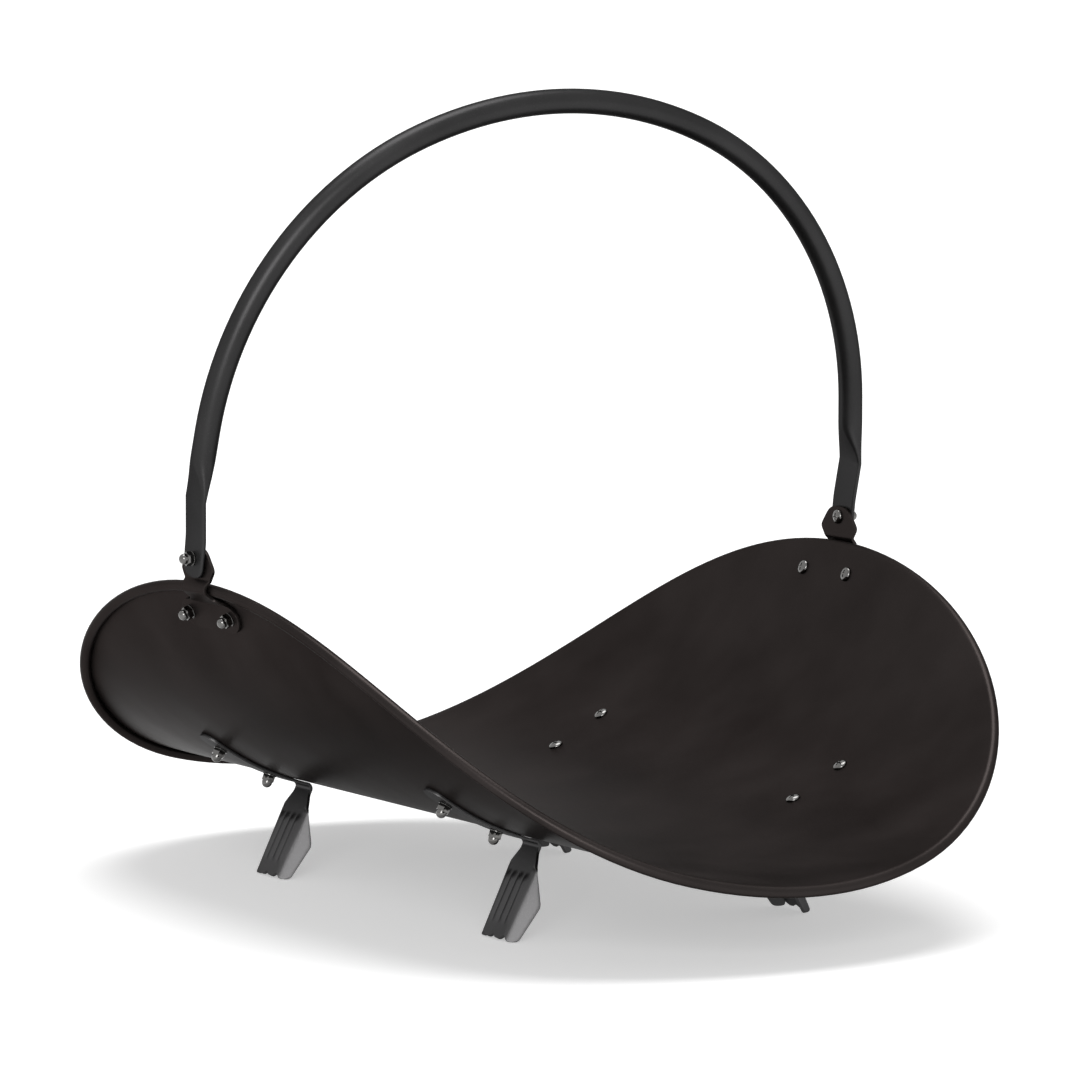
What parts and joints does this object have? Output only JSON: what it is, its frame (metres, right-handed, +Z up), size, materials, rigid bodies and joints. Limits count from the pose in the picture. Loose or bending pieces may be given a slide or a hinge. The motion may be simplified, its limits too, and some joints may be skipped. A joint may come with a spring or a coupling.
{
  "type": "firewood log rack",
  "caption": "Curved sheet-steel trough on splayed stamped feet with a rolled rim and a hoop carrying handle that swings on brackets; holds split firewood.",
  "frame": {"origin": "on the floor, below the middle of the trough", "axes": "+Z up, X across the trough between the two handle pivots, Y along the trough with -Y at the front, the side the handle leans to"},
  "size_m": [0.5094, 0.6824, 0.5216],
  "materials": {
    "black_powder_coat": "satin black powder coat",
    "black_handle_coat": "satin black powder coat",
    "black_bracket_coat": "satin black powder coat",
    "black_leg_coat": "satin black powder coat",
    "plated_bolts": "bright nickel plate",
    "plated_washers": "bright nickel plate",
    "plated_nuts": "bright nickel plate"
  },
  "bodies": {
    "basket": {"pan": "black_powder_coat", "bracket_left": "black_bracket_coat", "bracket_right": "black_bracket_coat", "leg_front_left": "black_leg_coat", "leg_front_right": "black_leg_coat", "leg_back_left": "black_leg_coat", "leg_back_right": "black_leg_coat", "bracket_bolt_back_left": "plated_bolts", "bracket_bolt_back_right": "plated_bolts", "bracket_bolt_front_left": "plated_bolts", "bracket_bolt_front_right": "plated_bolts", "bracket_nut_back_left": "plated_nuts", "bracket_nut_back_right": "plated_nuts", "bracket_nut_front_left": "plated_nuts", "bracket_nut_front_right": "plated_nuts", "bracket_washer_back_left": "plated_washers", "bracket_washer_back_right": "plated_washers", "bracket_washer_front_left": "plated_washers", "bracket_washer_front_right": "plated_washers", "leg_bolt_back_left_inner": "plated_bolts", "leg_bolt_back_left_outer": "plated_bolts", "leg_bolt_back_right_inner": "plated_bolts", "leg_bolt_back_right_outer": "plated_bolts", "leg_bolt_front_left_inner": "plated_bolts", "leg_bolt_front_left_outer": "plated_bolts", "leg_bolt_front_right_inner": "plated_bolts", "leg_bolt_front_right_outer": "plated_bolts", "leg_nut_back_left_inner": "plated_nuts", "leg_nut_back_left_outer": "plated_nuts", "leg_nut_back_right_inner": "plated_nuts", "leg_nut_back_right_outer": "plated_nuts", "leg_nut_front_left_inner": "plated_nuts", "leg_nut_front_left_outer": "plated_nuts", "leg_nut_front_right_inner": "plated_nuts", "leg_nut_front_right_outer": "plated_nuts", "leg_washer_back_left_inner": "plated_washers", "leg_washer_back_left_outer": "plated_washers", "leg_washer_back_right_inner": "plated_washers", "leg_washer_back_right_outer": "plated_washers", "leg_washer_front_left_inner": "plated_washers", "leg_washer_front_left_outer": "plated_washers", "leg_washer_front_right_inner": "plated_washers", "leg_washer_front_right_outer": "plated_washers", "pivot_bolt_left": "plated_bolts", "pivot_bolt_right": "plated_bolts", "pivot_nut_left": "plated_nuts", "pivot_nut_right": "plated_nuts", "pivot_washer_left": "plated_washers", "pivot_washer_right": "plated_washers"},
    "handle": {"handle": "black_handle_coat"}
  },
  "joints": [
    {"name": "handle_pivot", "type": "hinge", "parent": "basket", "child": "handle", "pos_m": [0, 0, 0.2319], "axis": [1, 0, 0], "range_deg": [-108, 90]}
  ]
}
